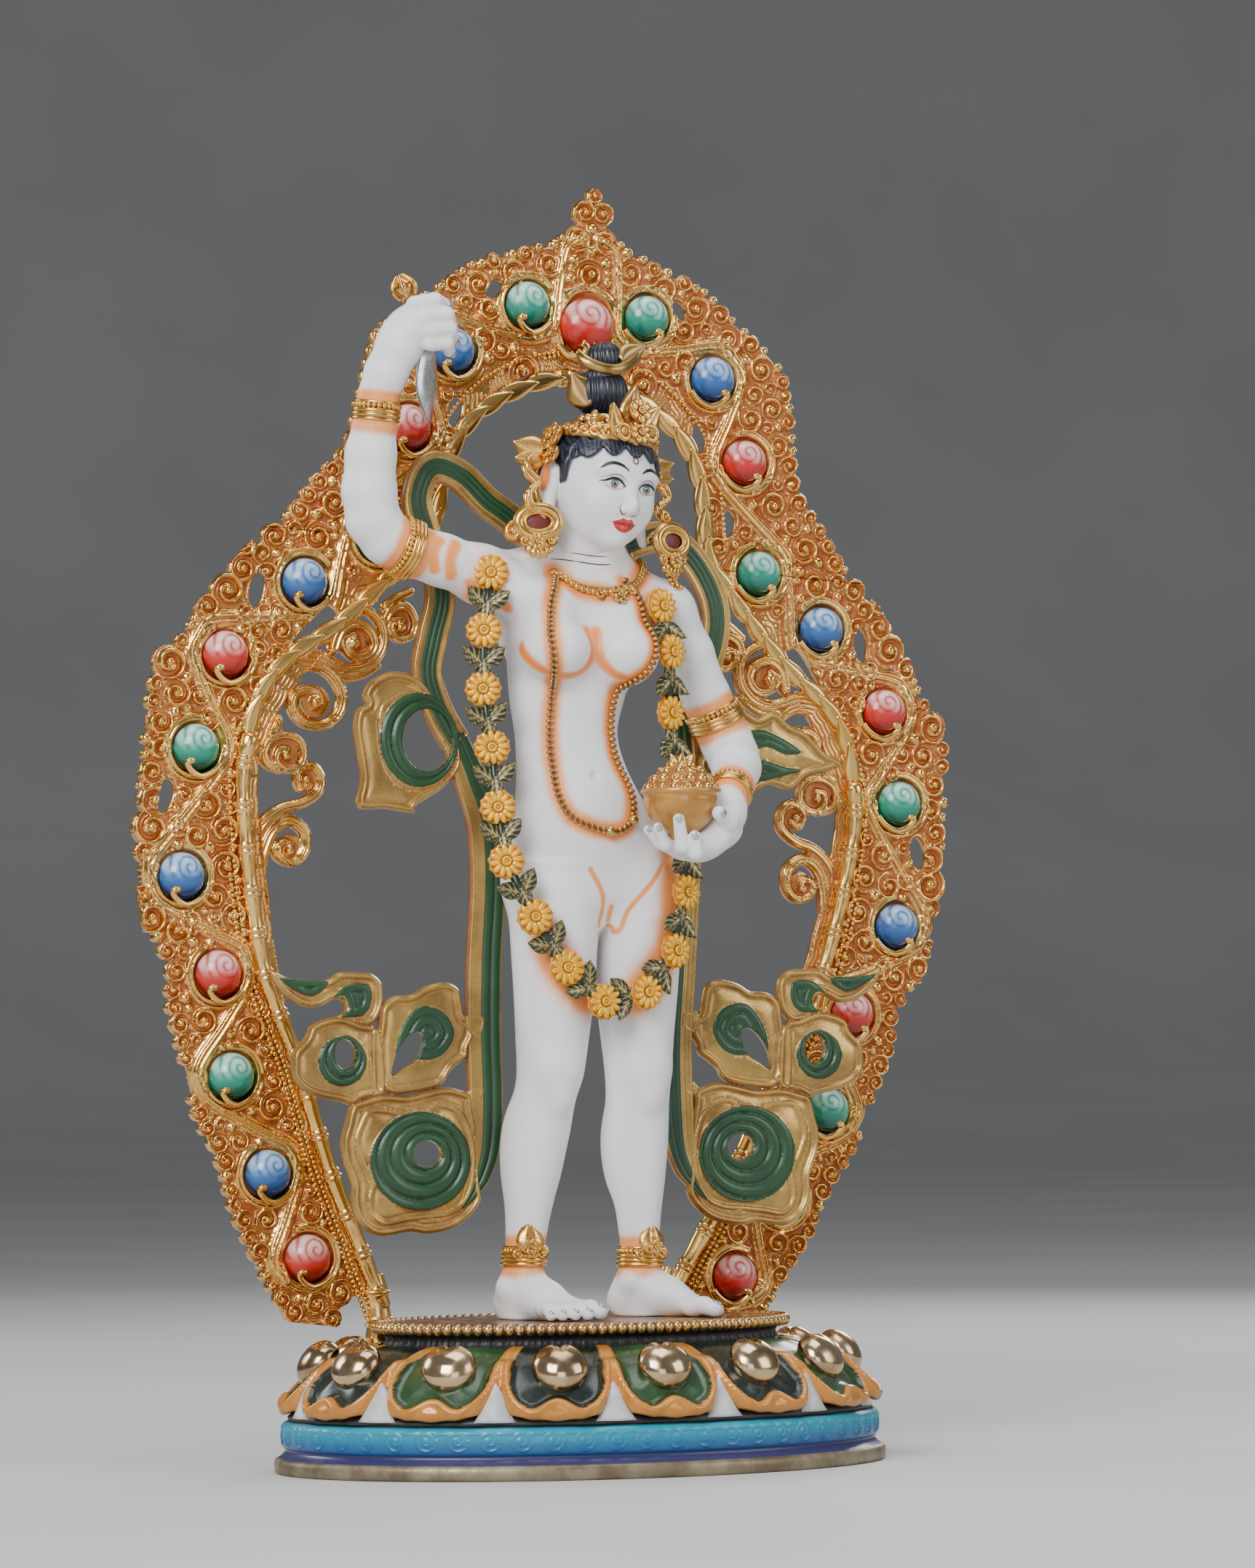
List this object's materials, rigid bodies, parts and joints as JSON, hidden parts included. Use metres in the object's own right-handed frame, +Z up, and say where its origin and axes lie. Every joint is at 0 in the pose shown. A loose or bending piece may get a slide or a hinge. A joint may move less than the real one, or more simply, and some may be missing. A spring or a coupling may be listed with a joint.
{
  "type": "deity statue",
  "caption": "Standing painted deity figure with raised knife and skull cup, on an oval lotus pedestal, backed by a lift-out jewelled openwork aureole.",
  "frame": {"origin": "centre of the pedestal's underside", "axes": "+Z up, the figure faces -Y, +X to the right seen from the front"},
  "size_m": [0.2964, 0.146, 0.424],
  "materials": {
    "aged_brass": "aged, scuffed",
    "bare_copper": "bare copper, dull",
    "blue_paint": "satin paint over a stamped scroll pattern",
    "black_paint": "satin",
    "green_petal_paint": "satin, gold edge",
    "dark_petal_paint": "satin, gold edge",
    "polished_gilt": "polished",
    "white_petal_paint": "satin",
    "plate_paint": "painted pattern, satin",
    "gilt": "satin gilt with brown in the recesses",
    "white_skin_paint": "matt white with soft orange shading",
    "hair_paint": "matt dark blue",
    "flower_paint": "satin yellow with gold",
    "leaf_paint": "dark green with gold edges",
    "silver_blade": "silvered, red tip",
    "cup_lacquer": "gloss gold lacquer",
    "scarf_paint": "satin green with gold borders",
    "coppery_gilt": "satin gilt, orange-brown in the recesses",
    "red_jewel_paint": "gloss, fading to pale at the top",
    "blue_jewel_paint": "gloss, fading to pale at the top",
    "green_jewel_paint": "gloss, fading to pale at the top"
  },
  "bodies": {
    "statue": {"plinth_rim": "aged_brass", "base_sealing_plate": "bare_copper", "scroll_band": "blue_paint", "lotus_shell": "black_paint", "light_petals": "green_petal_paint", "dark_petals": "dark_petal_paint", "petal_bosses": "polished_gilt", "white_sepals": "white_petal_paint", "neck_collar": "black_paint", "top_plate": "plate_paint", "beaded_rope_rim": "gilt", "foot_tangs": "bare_copper", "aureole_sockets": "bare_copper", "body_casting": "white_skin_paint", "head": "white_skin_paint", "hair_and_topknot": "hair_paint", "topknot_crescent": "gilt", "crown": "gilt", "right_earring": "gilt", "left_earring": "gilt", "right_arm": "white_skin_paint", "right_hand": "white_skin_paint", "left_arm": "white_skin_paint", "left_hand": "white_skin_paint", "necklace": "gilt", "bead_chain": "gilt", "garland_flowers": "flower_paint", "garland_leaves": "leaf_paint", "armlets": "gilt", "bracelets": "gilt", "anklets": "gilt", "knife_handle": "gilt", "knife_blade": "silver_blade", "skull_cup": "cup_lacquer", "cup_offering": "cup_lacquer", "scarf_left_shoulder": "scarf_paint", "scarf_right_shoulder": "scarf_paint", "scarf_left_fall": "scarf_paint", "scarf_right_fall": "scarf_paint", "scarf_left_loop": "scarf_paint", "scarf_left_swirl": "scarf_paint", "scarf_right_swirl": "scarf_paint", "scarf_elbow_end": "scarf_paint"},
    "aureole": {"aureole_left_limb": "coppery_gilt", "aureole_right_limb": "coppery_gilt", "aureole_crown_arch": "coppery_gilt", "aureole_stems": "gilt", "aureole_bead_rows": "coppery_gilt", "aureole_scroll_brackets": "gilt", "aureole_tenons": "gilt", "red_jewels": "red_jewel_paint", "blue_jewels": "blue_jewel_paint", "green_jewels": "green_jewel_paint", "main_jewel": "red_jewel_paint"}
  },
  "joints": [
    {"name": "aureole_lift", "type": "slide", "parent": "statue", "child": "aureole", "axis": [0, 0, 1], "range_m": [0, 0.03]}
  ]
}
